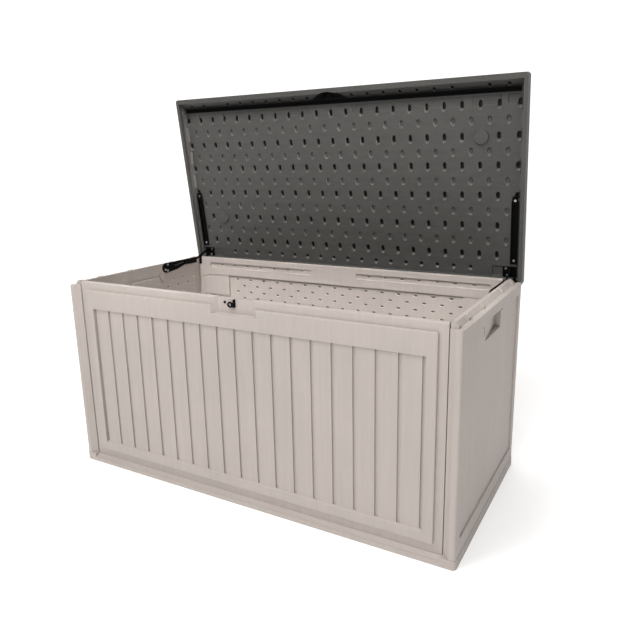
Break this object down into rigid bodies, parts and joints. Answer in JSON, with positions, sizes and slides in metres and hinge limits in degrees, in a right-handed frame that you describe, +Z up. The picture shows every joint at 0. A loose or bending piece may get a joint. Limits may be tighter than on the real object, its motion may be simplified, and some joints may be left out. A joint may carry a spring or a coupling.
{
  "type": "deck storage box",
  "caption": "Large plastic deck storage box with planked walls and a hinged, spring-assisted lid that stands open, with a padlock eye at the front",
  "frame": {"origin": "centre of the base's underside, on the ground", "axes": "+X to the right when facing the front, front at -Y, +Z up; metres; the rest pose has the lid at its open stop"},
  "size_m": [1.536, 0.7995, 1.4444],
  "materials": {
    "body_plastic": "fine vertical wood grain, light warm grey",
    "lid_plastic": "fine wood grain, dark warm grey",
    "black_steel": "black powder coat",
    "black_plastic": "satin",
    "zinc_steel": "zinc plated"
  },
  "bodies": {
    "box": {"base_panel": "body_plastic", "front_panel": "body_plastic", "back_panel": "body_plastic", "left_side_panel": "body_plastic", "right_side_panel": "body_plastic", "corner_strips": "body_plastic", "corner_strip_screws": "zinc_steel", "lock_staple": "black_steel", "lock_backing_plate": "zinc_steel", "lock_staple_screw": "zinc_steel", "left_body_hinge_leaf": "black_steel", "right_body_hinge_leaf": "black_steel", "body_hinge_screws": "zinc_steel", "left_wall_bracket": "black_steel", "right_wall_bracket": "black_steel", "wall_bracket_screws": "zinc_steel", "left_lift_spring": "zinc_steel", "right_lift_spring": "zinc_steel"},
    "lid": {"lid_panel": "lid_plastic", "lid_bar": "black_steel", "lid_bar_screws": "zinc_steel", "lid_catch": "black_plastic", "lid_catch_screws": "zinc_steel", "lid_hasp": "black_steel", "left_lid_arm": "black_steel", "right_lid_arm": "black_steel", "lid_arm_screws": "zinc_steel", "left_lid_hinge_leaf": "black_steel", "right_lid_hinge_leaf": "black_steel", "lid_hinge_screws": "zinc_steel", "left_hinge_pin": "black_steel", "right_hinge_pin": "black_steel", "left_crank_pin": "black_steel", "right_crank_pin": "black_steel"},
    "left_link": {"left_lift_link": "black_steel"},
    "right_link": {"right_lift_link": "black_steel"},
    "left_slider": {"left_lift_slider": "black_plastic"},
    "right_slider": {"right_lift_slider": "black_plastic"}
  },
  "joints": [
    {"name": "lid_hinge", "type": "hinge", "parent": "box", "child": "lid", "pos_m": [0, 0.3664, 0.7068], "axis": [1, 0, 0], "range_deg": [0, 82.84], "stiffness_Nm_per_rad": 9, "springref_deg": -11.46},
    {"name": "left_link_hinge", "type": "hinge", "parent": "lid", "child": "left_link", "pos_m": [-0.7179, 0.38527, 0.75634], "axis": [1, 0, 0], "range_deg": [-97.4, 0.05]},
    {"name": "left_slider_slide", "type": "slide", "parent": "box", "child": "left_slider", "axis": [0, -1, 0], "range_m": [0, 0.0713], "deforming": ["left_lift_spring"]},
    {"name": "right_link_hinge", "type": "hinge", "parent": "lid", "child": "right_link", "pos_m": [0.7179, 0.38527, 0.75634], "axis": [1, 0, 0], "range_deg": [-97.4, 0.05]},
    {"name": "right_slider_slide", "type": "slide", "parent": "box", "child": "right_slider", "axis": [0, -1, 0], "range_m": [0, 0.0713], "deforming": ["right_lift_spring"]}
  ],
  "couplings": [
    {"joint": "left_link_hinge", "follows": "lid_hinge", "ratio": -1.1752},
    {"joint": "left_slider_slide", "follows": "lid_hinge", "m_per_rad": 0.049301},
    {"joint": "right_link_hinge", "follows": "lid_hinge", "ratio": -1.1752},
    {"joint": "right_slider_slide", "follows": "lid_hinge", "m_per_rad": 0.049301}
  ]
}
